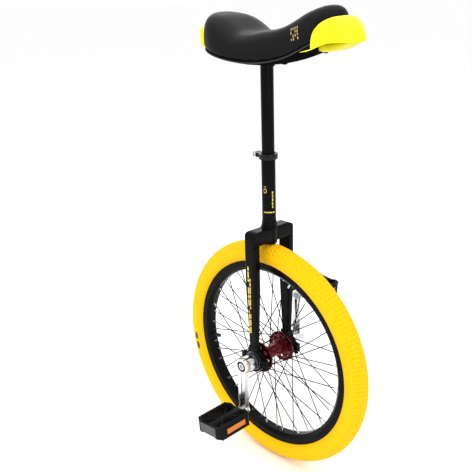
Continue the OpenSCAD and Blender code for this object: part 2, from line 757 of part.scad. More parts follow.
// Each screw comes up through a bumper's tab into the base
module bumper_screw_places() {
    for (x = [screw_front_x, screw_rear_x], y = [-screw_y, screw_y])
        translate([x, y, saddle_z + under_r - sqrt(under_r * under_r - x * x - y * y)]) children();
}
module bumper_screws() {
    color("silver") bumper_screw_places() {
        translate([0, 0, -tab_t - 3]) cylinder(r = 2, h = tab_t + base_t + 1);
        translate([0, 0, -tab_t - 4.6]) cylinder(r = 3.8, h = 2.2);
    }
}

// ---- cranks ----
// A crank hangs down on the right and points up on the left
module crank(side) {
    lug_r = 12.5;
    boss_r = 17;
    arm_top = 11.5;
    arm_foot = 9.5;
    pedal_z = side * crank_len;
    color("silver") at_axle() difference() {
        union() {
            disc_y(boss_r, side * crank_boss_in, side * crank_out);
            translate([0, 0, pedal_z]) disc_y(lug_r, side * crank_in, side * crank_out);
            translate([0, side > 0 ? crank_out : -crank_in, 0]) rotate([90, 0, 0])
                linear_extrude(height = crank_t)
                    polygon([[-arm_top, 0], [-arm_foot, pedal_z], [arm_foot, pedal_z], [arm_top, 0]]);
        }
        disc_y(stub_r + fit, side * (crank_boss_in - 1), side * (crank_out - 5));
        disc_y(11.5, side * (crank_out - 5), side * (crank_out + 1));
        translate([0, 0, pedal_z])
            disc_y(pedal_thread_r + fit, side * (crank_in - 1), side * (crank_out + 1));
    }
}
module crank_bolts() {
    color("silver") at_axle() for (side = [right, left]) difference() {
        union() {
            disc_y(4 - fit, side * (bearing_y + 4), side * (crank_out - 4.9));
            disc_y(7.5, side * (crank_out - 4.9), side * (crank_out - 0.5));
        }
        disc_y(4.2, side * (crank_out - 4), side * crank_out);
    }
}
module crank_bolt_rings() {
    color("black") at_axle() for (side = [right, left])
        disc_y(11.5 - fit, side * (crank_out - 4.9), side * (crank_out - 0.3), 7.5 + fit);
}

// ---- pedals ----
module at_pedal(side) {
    translate([0, 0, axle_z + side * crank_len])
        rotate([0, side == right ? pedal_tilt_right : pedal_tilt_left, 0]) children();
}
module pedal_axle(side) {
    color("silver") at_pedal(side) {
        disc_y(pedal_thread_r, side * crank_in, side * crank_out);
        disc_y(8.5, side * crank_out, side * (pedal_in - 0.5));
        disc_y(pedal_axle_r, side * (pedal_in - 0.5), side * (pedal_out - 4));
    }
}
module pedal_nuts() {
    color("silver") for (side = [right, left]) at_pedal(side)
        disc_y(7, side * (pedal_out - 9.5), side * (pedal_out - 5), pedal_axle_r + fit);
}
module pedal_bushes(side) {
    color("goldenrod") at_pedal(side) for (y = [pedal_in + 4, pedal_out - 10 - bush_len])
        disc_y(bush_r, side * y, side * (y + bush_len), pedal_axle_r + running);
}
module reflector_boxes(side, grow) {
    mid = side * (pedal_in + pedal_out) / 2;
    for (front = [-1, 1]) {
        x = front * (pedal_w / 2 - reflector_t / 2);
        translate([x, mid, 0]) cube([reflector_t + grow, reflector_len + grow, reflector_h + grow],
            center = true);
    }
}
module pedal_reflectors(side) { color("orange") at_pedal(side) reflector_boxes(side, -0.2); }
// A cage round a barrel that flares towards the crank, with crossed webs and dished end plates
module pedal_body(side) {
    corner = 14;
    mid = side * (pedal_in + pedal_out) / 2;
    window_x = pedal_w / 2 - pedal_rail;
    window_y = pedal_len / 2 - pedal_end;
    dip_r = 60;
    color([0.2, 0.2, 0.2]) at_pedal(side) difference() {
        union() {
            translate([0, mid, -pedal_h / 2]) linear_extrude(height = pedal_h) difference() {
                polygon(round_rect(pedal_w, pedal_len, corner));
                polygon(round_rect(2 * window_x, 2 * window_y, corner - pedal_rail));
            }
            disc_y(pedal_barrel_r, side * pedal_in, side * pedal_out);
            translate([0, side * pedal_in, 0]) rotate([-side * 90, 0, 0])
                cylinder(r1 = pedal_flare_r, r2 = pedal_barrel_r, h = 24);
            intersection() {
                translate([0, mid, -pedal_h / 2 + 5]) linear_extrude(height = pedal_h - 10)
                    for (turn = [-1, 1]) rotate([0, 0, turn * atan(window_y / window_x)])
                        square([3 * pedal_len, pedal_web_t], center = true);
                block([-window_x - 1, mid - window_y - 1, -pedal_h],
                    [window_x + 1, mid + window_y + 1, pedal_h]);
            }
        }
        for (top = [-1, 1]) translate([0, mid - pedal_len, top * (pedal_h / 2 + dip_r - pedal_dip)])
            rotate([-90, 0, 0]) cylinder(r = dip_r, h = 2 * pedal_len);
        disc_y(bush_r + fit, side * (pedal_in - 1), side * (pedal_out + 1));
        reflector_boxes(side, 0.2);
    }
}
module pedal_cap(side) {
    color([0.2, 0.2, 0.2]) at_pedal(side) {
        disc_y(bush_r, side * (pedal_out - 3), side * (pedal_out + 1));
    }
}

seat_tube();
crown_tube();
fork_leg(right);  // fork_leg_right
fork_leg(left);  // fork_leg_left
bearing_holder(right);  // bearing_holder_right
bearing_holder(left);  // bearing_holder_left
bearing_cap(right);  // bearing_cap_right
bearing_cap(left);  // bearing_cap_left
bearing_cap_bolts();
bearing_outer_ring(right);  // bearing_outer_ring_right
bearing_outer_ring(left);  // bearing_outer_ring_left
bearing_seals();
seat_clamp();
clamp_bolt();
clamp_nut();
seat_post();
post_plate();
saddle_bolts();
saddle_nuts();
saddle_base();
saddle_foam();
saddle_cover();
front_bumper();
rear_bumper();
bumper_screws();
tyre();
inner_tube();
rim_tape();
rim();
spokes(right);  // spokes_right
spokes(left);  // spokes_left
spoke_nipples();
valve_stem();
valve_cap();
hub_shell();
hub_axle();
axle_spacers();
bearing_inner_ring(right);  // bearing_inner_ring_right
bearing_inner_ring(left);  // bearing_inner_ring_left
crank(right);  // crank_right
crank(left);  // crank_left
crank_bolts();
crank_bolt_rings();
pedal_axle(right);  // pedal_axle_right
pedal_axle(left);  // pedal_axle_left
pedal_nuts();
bearing_balls(right);  // bearing_balls_right
bearing_cage(right);  // bearing_cage_right
bearing_balls(left);  // bearing_balls_left
bearing_cage(left);  // bearing_cage_left
pedal_body(right);  // pedal_body_right
pedal_bushes(right);  // pedal_bushes_right
pedal_reflectors(right);  // pedal_reflectors_right
pedal_cap(right);  // pedal_cap_right
pedal_body(left);  // pedal_body_left
pedal_bushes(left);  // pedal_bushes_left
pedal_reflectors(left);  // pedal_reflectors_left
pedal_cap(left);  // pedal_cap_left
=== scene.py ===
"""Looks of the unicycle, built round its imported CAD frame. Lengths are in metres, in the frame's axes."""
import json
import math
import random

import bmesh
import bpy
from mathutils import Matrix, Vector
from mathutils.bvhtree import BVHTree


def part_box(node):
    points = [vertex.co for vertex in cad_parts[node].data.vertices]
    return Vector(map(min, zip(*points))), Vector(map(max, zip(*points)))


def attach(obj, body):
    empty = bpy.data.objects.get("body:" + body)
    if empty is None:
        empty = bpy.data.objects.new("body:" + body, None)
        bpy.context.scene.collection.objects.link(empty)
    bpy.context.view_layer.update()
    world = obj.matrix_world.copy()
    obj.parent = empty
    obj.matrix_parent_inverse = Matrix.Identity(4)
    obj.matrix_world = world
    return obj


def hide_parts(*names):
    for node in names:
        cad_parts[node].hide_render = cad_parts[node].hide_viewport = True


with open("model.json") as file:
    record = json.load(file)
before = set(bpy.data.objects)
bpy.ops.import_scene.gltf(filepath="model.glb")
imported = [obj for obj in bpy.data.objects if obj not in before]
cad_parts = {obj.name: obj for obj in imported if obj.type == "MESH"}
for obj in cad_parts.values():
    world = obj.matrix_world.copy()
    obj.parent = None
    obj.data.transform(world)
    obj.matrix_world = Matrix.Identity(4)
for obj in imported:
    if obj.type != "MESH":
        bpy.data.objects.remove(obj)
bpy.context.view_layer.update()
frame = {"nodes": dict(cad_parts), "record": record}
NODES = frame["nodes"]
SCENE = bpy.context.scene
MM = 0.001

# Where the camera stands and looks, its turn about its own axis and its lens
CAMERA_AT = (0.904, -0.940, 0.982)
CAMERA_LOOKS_AT = (-0.047, -0.050, 0.521)
CAMERA_ROLL = math.radians(-1.9)
CAMERA_LENS = 51.4

# Wheel, millimetres
AXLE_Z = 252.0
TYRE_R = 252.0
CASING_R = 23.6
BEAD_R = 203.4

# Pedals, millimetres: half their size, their turn at rest in degrees, and half of a reflector
CRANK_LEN = 105.0
PEDAL_HALF_X, PEDAL_HALF_Z = 38.0, 13.5
PEDAL_TILT = {"right": -6.0, "left": 5.0}
LENS_HALF_Y, LENS_HALF_Z = 27.0, 7.5

# Saddle, millimetres: the plan's rear and nose ends, and the bowl that its underside follows
SADDLE_Z = 861.0
UNDER_R = 285.0
REAR_X, REAR_MID_X, REAR_HALF = -137.0, -59.0, 76.0
NOSE_X, NOSE_MID_X, NOSE_HALF = 180.0, 110.0, 50.0
BASE_T = 5.3


# ---- materials ----
def surface(name, colour, rough, metal=0.0, shade=0.1, patch=25.0, grain=1500.0, bump=0.1,
            grain_depth=0.0001, spread=0.06, stretch=(1, 1, 1), **sockets):
    """A procedural material: colour and roughness drift over patches, and a fine grain stands out of it."""
    m = bpy.data.materials.new(name)
    m.use_nodes = True
    nodes, links = m.node_tree.nodes, m.node_tree.links
    shader = nodes["Principled BSDF"]
    shader.inputs["Metallic"].default_value = metal
    for socket, value in sockets.items():
        shader.inputs[socket.replace("_", " ")].default_value = value
    place = nodes.new("ShaderNodeTexCoord")
    spread_out = nodes.new("ShaderNodeMapping")
    spread_out.inputs["Scale"].default_value = stretch
    links.new(place.outputs["Object"], spread_out.inputs["Vector"])
    drift = nodes.new("ShaderNodeTexNoise")
    drift.inputs["Scale"].default_value = patch
    drift.inputs["Detail"].default_value = 3
    links.new(spread_out.outputs["Vector"], drift.inputs["Vector"])
    mix = nodes.new("ShaderNodeMix")
    mix.data_type = "RGBA"
    mix.inputs["A"].default_value = [c * (1 - shade) for c in colour] + [1]
    mix.inputs["B"].default_value = [min(1, c * (1 + shade)) for c in colour] + [1]
    links.new(drift.outputs["Fac"], mix.inputs["Factor"])
    links.new(mix.outputs["Result"], shader.inputs["Base Color"])
    ramp = nodes.new("ShaderNodeMapRange")
    ramp.inputs["From Min"].default_value, ramp.inputs["From Max"].default_value = 0.3, 0.7
    ramp.inputs["To Min"].default_value = max(0, rough - spread)
    ramp.inputs["To Max"].default_value = min(1, rough + spread)
    links.new(drift.outputs["Fac"], ramp.inputs["Value"])
    links.new(ramp.outputs["Result"], shader.inputs["Roughness"])
    fine = nodes.new("ShaderNodeTexNoise")
    fine.inputs["Scale"].default_value = grain
    fine.inputs["Detail"].default_value = 2
    links.new(spread_out.outputs["Vector"], fine.inputs["Vector"])
    relief = nodes.new("ShaderNodeBump")
    relief.inputs["Strength"].default_value = bump
    relief.inputs["Distance"].default_value = grain_depth
    links.new(fine.outputs["Fac"], relief.inputs["Height"])
    links.new(relief.outputs["Normal"], shader.inputs["Normal"])
    return m


SURFACES = {
    "frame_paint": surface("frame_paint", (0.0025, 0.0025, 0.003), 0.2, patch=12, grain=260, bump=0.12,
                           Coat_Weight=0.02, Coat_Roughness=0.08, Specular_IOR_Level=0.05),
    "black_steel": surface("black_steel", (0.002, 0.002, 0.002), 0.4, grain=3000, Specular_IOR_Level=0.03),
    "black_oxide": surface("black_oxide", (0.004, 0.004, 0.004), 0.35, grain=3000, Specular_IOR_Level=0.08),
    "clamp_black": surface("clamp_black", (0.004, 0.004, 0.0045), 0.28, grain=2600, Specular_IOR_Level=0.2),
    "bearing_steel": surface("bearing_steel", (0.10, 0.10, 0.105), 0.3, metal=1.0, grain=4000),
    "seal_rubber": surface("seal_rubber", (0.008, 0.008, 0.008), 0.7, grain=2500, bump=0.3,
                           Specular_IOR_Level=0.2),
    "bright_steel": surface("bright_steel", (0.62, 0.62, 0.64), 0.25, metal=1.0, grain=3500),
    "saddle_plastic": surface("saddle_plastic", (0.004, 0.004, 0.0045), 0.6, grain=2200, bump=0.35,
                              Specular_IOR_Level=0.0),
    "foam": surface("foam", (0.5, 0.5, 0.48), 0.9, grain=900, bump=0.8),
    "saddle_skin": surface("saddle_skin", (0.0045, 0.0045, 0.0055), 0.42, patch=18, grain=2400, bump=0.28,
                           spread=0.05, Specular_IOR_Level=0.09),
    "bumper_yellow": surface("bumper_yellow", (0.98, 0.90, 0.0), 0.38, shade=0.02, grain=1800, bump=0.12,
                             Subsurface_Weight=0.12, Subsurface_Scale=0.004, Specular_IOR_Level=0.3),
    "tyre_yellow": surface("tyre_yellow", (0.93, 0.50, 0.0), 0.62, shade=0.08, patch=110, grain=1400,
                           bump=0.25, spread=0.08, Specular_IOR_Level=0.12),
    "tube_rubber": surface("tube_rubber", (0.02, 0.02, 0.02), 0.6),
    "tape_cloth": surface("tape_cloth", (0.4, 0.4, 0.38), 0.9, grain=1200, bump=0.6),
    "rim_black": surface("rim_black", (0.003, 0.003, 0.0035), 0.28, grain=2600, Specular_IOR_Level=0.06),
    "cap_plastic": surface("cap_plastic", (0.008, 0.008, 0.008), 0.3, Specular_IOR_Level=0.3),
    "hub_red": surface("hub_red", (0.12, 0.001, 0.005), 0.28, metal=0.8, patch=60, grain=3000,
                       Coat_Weight=0.15, Coat_Roughness=0.12),
    "axle_steel": surface("axle_steel", (0.32, 0.32, 0.33), 0.3, metal=1.0, grain=3500),
    "crank_silver": surface("crank_silver", (0.80, 0.80, 0.82), 0.22, metal=1.0, shade=0.04, patch=40,
                            grain=3500, bump=0.06),
    "cage_brass": surface("cage_brass", (0.6, 0.42, 0.16), 0.35, metal=1.0),
    "pedal_plastic": surface("pedal_plastic", (0.005, 0.005, 0.0055), 0.5, shade=0.25, grain=1600,
                             bump=0.45, grain_depth=0.0002, Specular_IOR_Level=0.08),
    "reflector_amber": surface("reflector_amber", (0.60, 0.17, 0.012), 0.16, shade=0.2, patch=160,
                               grain=700, bump=0.3, Coat_Weight=0.5, Coat_Roughness=0.05),
}
INK = surface("decal_ink", (0.70, 0.52, 0.06), 0.4, shade=0.3, patch=400, grain=2500)
INK_DARK = surface("decal_dark", (0.05, 0.03, 0.005), 0.5, shade=0.2, patch=300, grain=2500)
INK_PALE = surface("decal_pale", (0.60, 0.40, 0.16), 0.5, shade=0.3, patch=300, grain=2500)
# A darker copy of the bumper's yellow for the finger strap: painted shade under the lip
STRAP_SHADED_YELLOW = surface("strap_yellow_painted_shade", (0.66, 0.58, 0.0), 0.45, shade=0.03, grain=1800, bump=0.12,
                       Specular_IOR_Level=0.2)
EDGE_TRIM = surface("edge_trim", (0.02, 0.02, 0.021), 0.4, grain=2500, Specular_IOR_Level=0.25)
PLATE_GREY = surface("plate_grey", (0.085, 0.085, 0.088), 0.5, shade=0.25, patch=120, grain=1700, bump=0.6,
                     grain_depth=0.0003, Specular_IOR_Level=0.3)


# ---- mesh helpers ----
def add_mesh(name, verts, faces, smooth=True):
    """A new object from points in millimetres."""
    mesh = bpy.data.meshes.new(name)
    mesh.from_pydata([[c * MM for c in v] for v in verts], [], faces)
    mesh.validate()
    piece = bpy.data.objects.new(name, mesh)
    SCENE.collection.objects.link(piece)
    mesh.shade_smooth() if smooth else mesh.shade_flat()
    return piece


def skin(rows, wrap_rows=False, wrap_columns=True, cap_ends=False):
    """Points and faces of a surface through equally long rows of points."""
    n, count = len(rows[0]), len(rows)
    verts = [p for row in rows for p in row]
    faces = []
    for i in range(count if wrap_rows else count - 1):
        for j in range(n if wrap_columns else n - 1):
            a, b = i * n + j, i * n + (j + 1) % n
            c, d = ((i + 1) % count) * n + (j + 1) % n, ((i + 1) % count) * n + j
            faces.append((a, b, c, d))
    if cap_ends:
        faces.append(tuple(range(n - 1, -1, -1)))
        faces.append(tuple((count - 1) * n + j for j in range(n)))
    return verts, faces


def face_outwards(piece):
    shape = bmesh.new()
    shape.from_mesh(piece.data)
    bmesh.ops.recalc_face_normals(shape, faces=shape.faces)
    shape.to_mesh(piece.data)
    shape.free()


def apply_modifiers(piece):
    """Replaces the piece's mesh with what its modifiers make of it."""
    shown = piece.evaluated_get(bpy.context.evaluated_depsgraph_get())
    mesh = bpy.data.meshes.new_from_object(shown)
    piece.modifiers.clear()
    old, piece.data = piece.data, mesh
    bpy.data.meshes.remove(old)


def finish_piece(piece, body, slot, material=None, replaces=()):
    """Gives a new piece its body and its material, and hides the CAD nodes that it stands for."""
    piece.data.materials.clear()
    piece.data.materials.append(material or SURFACES[slot])
    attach(piece, body)
    if replaces:
        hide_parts(*replaces)
    return piece


def tube(name, path, radius, sides=10, closed=False):
    """A round rod along a path of points."""
    rows = []
    count = len(path)
    points = [Vector(p) for p in path]
    for i, p in enumerate(points):
        before = points[i - 1] if closed or i else p
        after = points[(i + 1) % count] if closed or i < count - 1 else p
        along = (after - before).normalized()
        side = along.cross(Vector((0, 0, 1)))
        side = side.normalized() if side.length > 0.01 else Vector((1, 0, 0))
        up = side.cross(along)
        rows.append([p + radius * (math.cos(t) * side + math.sin(t) * up)
                     for t in (2 * math.pi * k / sides for k in range(sides))])
    piece = add_mesh(name, *skin(rows, wrap_rows=closed, cap_ends=not closed))
    face_outwards(piece)
    return piece


def join(name, pieces):
    """Makes several objects into one mesh."""
    shape = bmesh.new()
    for piece in pieces:
        shape.from_mesh(piece.data)
    mesh = bpy.data.meshes.new(name)
    shape.to_mesh(mesh)
    shape.free()
    for piece in pieces:
        bpy.data.objects.remove(piece)
    made = bpy.data.objects.new(name, mesh)
    SCENE.collection.objects.link(made)
    return made


def curve_through(points, x):
    """A smooth line through the points, read at x."""
    if x <= points[0][0]:
        return points[0][1]
    for i in range(len(points) - 1):
        (x0, z0), (x1, z1) = points[i], points[i + 1]
        if x <= x1:
            before = points[i - 1] if i else points[i]
            after = points[i + 2] if i + 2 < len(points) else points[i + 1]
            slope0 = (z1 - before[1]) / (x1 - before[0])
            slope1 = (after[1] - z0) / (after[0] - x0)
            t, w = (x - x0) / (x1 - x0), x1 - x0
            return ((2 * t**3 - 3 * t**2 + 1) * z0 + (t**3 - 2 * t**2 + t) * w * slope0
                    + (3 * t**2 - 2 * t**3) * z1 + (t**3 - t**2) * w * slope1)
    return points[-1][1]


# ---- tyre ----
TREAD_PITCHES = 176
TREAD_HALF_ARC = 26.5
TREAD_CELLS = 10
TREAD_DEPTH = 0.8
ZIGZAG = 2.0
GROOVE_HALF = 0.55
# How deep the sidewall lies at some angles round the casing: a rib by the rim and a step under the tread
WALL_DEPTHS = {131: -0.5, 72: 0.2}
BEAD_HALF = 11.6


def tyre_section():
    """The tyre's outer line from bead to bead: arc lengths, each with a groove's number or -1 on the wall."""
    wall = [CASING_R * math.radians(a) for a in (138, 134, 131, 128, 124, 118, 110, 100, 90, 80, 72, 67)]
    cell = 2 * TREAD_HALF_ARC / TREAD_CELLS
    tread = []
    for k in range(TREAD_CELLS):
        start = -TREAD_HALF_ARC + k * cell
        tread += [(start, k), (start + GROOVE_HALF, None), (start + cell / 2, None),
                  (start + cell - GROOVE_HALF, None)]
    tread.append((TREAD_HALF_ARC, TREAD_CELLS))
    return [(-s, -1) for s in wall] + tread + [(s, -1) for s in reversed(wall)]


def tyre():
    section = tyre_section()
    cell = 2 * TREAD_HALF_ARC / TREAD_CELLS
    pitch = 2 * math.pi * TYRE_R / TREAD_PITCHES
    along = [0, GROOVE_HALF, pitch / 2, pitch - GROOVE_HALF]
    rows = []
    for p in range(TREAD_PITCHES):
        for q, s in enumerate(along):
            row = []
            for arc, mark in section:
                phi = arc / CASING_R
                tread = abs(arc) <= TREAD_HALF_ARC + 0.01
                swing = 0.0
                if tread:
                    t = (arc + TREAD_HALF_ARC) / cell
                    swing = ZIGZAG * (abs((t % 2) - 1) - 0.5) * min(1, (TREAD_HALF_ARC - abs(arc)) / 3)
                depth = 0.0
                if tread and q == 0:
                    depth = TREAD_DEPTH
                elif mark is not None and mark >= 0 and (mark + p) % 2 == 0:
                    depth = TREAD_DEPTH
                if not tread:
                    degrees = abs(math.degrees(phi))
                    depth = WALL_DEPTHS.get(round(degrees), 0.0)
                reach = CASING_R - 0.1 - depth
                turn = (p * pitch + s + swing) / TYRE_R
                r = TYRE_R - CASING_R + reach * math.cos(phi)
                row.append((r * math.cos(turn), reach * math.sin(phi), AXLE_Z + r * math.sin(turn)))
            turn = (p * pitch + s) / TYRE_R
            for r, y in ((BEAD_R + 5, BEAD_HALF + 0.4), (BEAD_R, BEAD_HALF), (BEAD_R, -BEAD_HALF),
                         (BEAD_R + 5, -BEAD_HALF - 0.4)):
                row.append((r * math.cos(turn), y, AXLE_Z + r * math.sin(turn)))
            rows.append(row)
    piece = add_mesh("tyre_tread", *skin(rows, wrap_rows=True))
    face_outwards(piece)
    return finish_piece(piece, "wheel", "tyre_yellow", replaces=["tyre"])


# ---- saddle ----
# The pad's top line over its length: the rear hump, the low seat and the nose
PAD_TOP = [(-140, 967), (-105, 957), (-80, 947), (-55, 932), (-30, 918.5), (-5, 918), (20, 921),
           (45, 923.5), (70, 929.5), (95, 940.5), (120, 954), (145, 965), (165, 970), (182, 974)]
# How square the pad's shoulders are over its length
PAD_SQUARE = [(-137, 7.0), (-60, 4.6), (0, 3.4), (180, 3.3)]
PAD_SPINE = (-50.0, 125.0)
PAD_BELLY = 14.0


def under(x, y, radius=UNDER_R):
    """Height of the saddle's underside, on a sphere of that radius."""
    return SADDLE_Z + UNDER_R - math.sqrt(max(0.0, radius**2 - x * x - y * y))


def saddle_outline(steps=36):
    """The saddle's plan, all the way round from the middle of the rear."""
    half = []
    for i in range(steps):
        a = math.radians(180 - 90 * i / steps)
        half.append((REAR_MID_X - (REAR_X - REAR_MID_X) * math.cos(a), REAR_HALF * math.sin(a)))
    for i in range(steps):
        t = i / steps
        half.append((REAR_MID_X + (NOSE_MID_X - REAR_MID_X) * t,
                     REAR_HALF + (NOSE_HALF - REAR_HALF) * t * t * (3 - 2 * t)))
    for i in range(steps + 1):
        a = math.radians(90 - 90 * i / steps)
        half.append((NOSE_MID_X + (NOSE_X - NOSE_MID_X) * math.cos(a), NOSE_HALF * math.sin(a)))
    return half + [(x, -y) for x, y in reversed(half[1:-1])]


def pad_ring(depth, inset):
    """One ring of the pad's skin: depth runs from 0 at the widest line to 1 on the spine."""
    ring = []
    for ox, oy in saddle_outline():
        sx = min(max(ox, PAD_SPINE[0]), PAD_SPINE[1])
        away = math.hypot(ox - sx, oy)
        d = (1 - depth) * (away - inset) / away
        x, y = sx + (ox - sx) * d, oy * d
        wide = under(ox, oy) + 1 + PAD_BELLY
        square = curve_through(PAD_SQUARE, ox)
        lift = max(0.0, 1 - (1 - depth)**square)**(1 / 2.4)
        ring.append((x, y, wide + (curve_through(PAD_TOP, x) - inset - wide) * lift))
    return ring


def pad_shape(inset):
    """The closed pad before it is puffed up."""
    rows = []
    for d in (0.78, 0.5, 0.25, 0.08):  # the bottom, from the spine outwards, just above the base
        ring = []
        for ox, oy in saddle_outline():
            sx = min(max(ox, PAD_SPINE[0]), PAD_SPINE[1])
            x, y = sx + (ox - sx) * (1 - d), oy * (1 - d)
            ring.append((x, y, under(x, y, UNDER_R - BASE_T) + 0.4))
        rows.append(ring)
    for tuck, rise in ((4.5, 0.8), (3.0, 2.0), (1.4, 5.0), (0.4, 9.5)):  # the lower edge, then the side
        ring = []
        for ox, oy in saddle_outline():
            sx = min(max(ox, PAD_SPINE[0]), PAD_SPINE[1])
            away = math.hypot(ox - sx, oy)
            d = (away - inset - tuck) / away
            ring.append((sx + (ox - sx) * d, oy * d, under(ox, oy) + rise - 1.6))
        rows.append(ring)
    for depth in (0, 0.015, 0.04, 0.08, 0.13, 0.2, 0.28, 0.38, 0.5, 0.62, 0.75, 0.88):
        rows.append(pad_ring(depth, inset))
    n = len(rows[0])
    verts, faces = skin(rows)
    # close both ends along the spine: each point joins its mirror image's neighbour
    for start, flip in ((0, False), ((len(rows) - 1) * n, True)):
        for i in range(n // 2):
            a, b = start + i, start + i + 1
            c, d = start + (n - i - 1) % n, start + (n - i) % n
            quad = [v for k, v in enumerate((a, b, c, d)) if v not in (a, b, c, d)[:k]]
            if len(quad) > 2:
                faces.append(tuple(reversed(quad)) if flip else tuple(quad))
    return verts, faces


# How far the cloth may move, and how far inside the fitted shape the pad starts with it and without it
PUFF_CAP = 2.2
PUFF_INSET = -1.3


def puff(piece, voxel, pressure, cap):
    """Remeshes a pad and blows it up as cloth, no point moving further than cap."""
    remesh = piece.modifiers.new("even", "REMESH")
    remesh.mode, remesh.voxel_size = "VOXEL", voxel * MM
    apply_modifiers(piece)
    start = [v.co.copy() for v in piece.data.vertices]
    cloth = piece.modifiers.new("cloth", "CLOTH")
    cloth.settings.quality = 5
    cloth.settings.use_pressure = True
    cloth.settings.uniform_pressure_force = pressure
    cloth.settings.effector_weights.gravity = 0
    cloth.settings.tension_stiffness = cloth.settings.compression_stiffness = 30
    cloth.point_cache.frame_start, cloth.point_cache.frame_end = 1, 20
    for f in range(1, 21):
        SCENE.frame_set(f)
    apply_modifiers(piece)
    SCENE.frame_set(1)
    for v, co in zip(piece.data.vertices, start):
        move = v.co - co
        if move.length > cap * MM:
            v.co = co + move.normalized() * cap * MM


def saddle_pad():
    piece = add_mesh("saddle_pad", *pad_shape(PUFF_INSET))
    face_outwards(piece)
    puff(piece, 5.0, 4.0, PUFF_CAP)
    even = piece.modifiers.new("smooth", "SMOOTH")
    even.factor, even.iterations = 0.5, 4
    finer = piece.modifiers.new("finer", "SUBSURF")
    finer.levels = finer.render_levels = 1
    apply_modifiers(piece)
    piece.data.shade_smooth()
    finish_piece(piece, "seat", "saddle_skin", replaces=["saddle_cover", "saddle_foam"])


def saddle_trim():
    """A thin moulded edging where the cover is tucked round the base."""
    path = [(x * 0.988, y * 0.975, under(x, y) + 0.6) for x, y in saddle_outline() if x < 150]
    first = next(i for i in range(len(path)) if math.dist(path[i], path[i - 1]) > 20)
    piece = tube("saddle_edge_trim", path[first:] + path[:first], 1.2, sides=8)
    finish_piece(piece, "seat", "saddle_plastic", EDGE_TRIM)


# ---- bumpers ----
LIP, TOP = 46.0, 87.5
SWELL_FORWARD, SWELL_SIDE, SWELL_LEAST = 33.0, 4.0, 5.0
ARCH_HALF, ARCH_SQUARE, ARCH_FOOT = 67.0, 3.1, 36.0
TAIL_END, TAIL_LOW = 78.0, 30.5
LEAST_HEIGHT = 0.6
# The finger strap's places along its length, with height, half width and half thickness
STRAP = [(146, 897, 25, 6.5), (154, 897, 27, 7.5), (165, 898, 27, 7.5), (178, 900, 26, 6.5),
         (192, 903.5, 24, 5), (203, 907, 20, 3.6), (208, 909, 12, 3)]
LIP_LINE = [(0, 46), (25, 46), (48, 45.3), (57, 41.5), (66, 35.5), (72, 32.2), (78, 30.5)]


def nose_point(angle, h):
    """A point of the front bumper's outer face, at an angle round the nose and a height h over the foot."""
    t = min(1.0, max(0.0, (h - LIP) / (TOP - LIP)))
    swell = max(0.0, 1 - t * t)**0.62
    a = math.radians(angle)
    return (NOSE_MID_X + (NOSE_X - NOSE_MID_X + SWELL_LEAST + SWELL_FORWARD * swell) * math.cos(a),
            (NOSE_HALF + SWELL_LEAST + SWELL_SIDE * swell) * math.sin(a), SADDLE_Z + h)


def lip_height(angle):
    return curve_through(LIP_LINE, abs(angle))


def front_bumper():
    """The nose's bumper is a shell that swells from its arched top edge to its lip."""
    columns = []
    for k in range(29):
        a = 2.0 * k
        rise = (1 - (a / ARCH_HALF)**ARCH_SQUARE)**(1 / ARCH_SQUARE)
        columns.append((a, ARCH_FOOT + (TOP - ARCH_FOOT) * rise))
    for k in range(14):
        turn = math.radians(62 + 28 * k / 13)
        a = ARCH_HALF * math.sin(turn)**(2 / ARCH_SQUARE)
        if a > 56.5:
            columns.append((a, ARCH_FOOT + (TOP - ARCH_FOOT) * math.cos(turn)**(2 / ARCH_SQUARE)))
    for k in range(1, 6):
        t = k / 5
        columns.append((ARCH_HALF + (TAIL_END - ARCH_HALF) * t,
                        ARCH_FOOT + (TAIL_LOW + LEAST_HEIGHT - ARCH_FOOT) * t))
    columns = [(-a, h) for a, h in reversed(columns[1:])] + columns
    rows = []
    for t in (0, 0.03, 0.1, 0.2, 0.32, 0.44, 0.56, 0.67, 0.77, 0.86, 0.93, 0.975, 1):
        row = []
        for a, high in columns:
            low = lip_height(a)
            row.append(nose_point(a, low + (max(high, low + LEAST_HEIGHT) - low) * t))
        rows.append(row)
    shell = add_mesh("bumper_front_shell", *skin(rows, wrap_columns=False))
    face_outwards(shell)
    if shell.data.polygons[len(shell.data.polygons) // 2].normal.x < 0:
        shell.data.flip_normals()
    wall = shell.modifiers.new("wall", "SOLIDIFY")
    wall.thickness, wall.offset = 3.6 * MM, -1
    rounded = shell.modifiers.new("rounded", "BEVEL")
    rounded.width, rounded.segments, rounded.limit_method = 1.2 * MM, 3, "ANGLE"
    rounded.angle_limit = math.radians(50)
    apply_modifiers(shell)
    shell.data.shade_smooth()
    finish_piece(shell, "seat", "bumper_yellow", replaces=["front_bumper"])
    # the finger strap under the lip, from the base's nose to the shell, in a darker yellow that is painted
    # shade from the lip
    rows = []
    for x, z, half, thick in STRAP:
        ring = []
        for k in range(24):
            t = 2 * math.pi * k / 24
            c, s = math.cos(t), math.sin(t)
            ring.append((x, half * math.copysign(abs(c)**0.35, c),
                         z + thick * math.copysign(abs(s)**0.6, s)))
        rows.append(ring)
    strap = add_mesh("handle_strap", *skin(rows, cap_ends=True))
    face_outwards(strap)
    finish_piece(strap, "seat", "bumper_yellow", STRAP_SHADED_YELLOW)


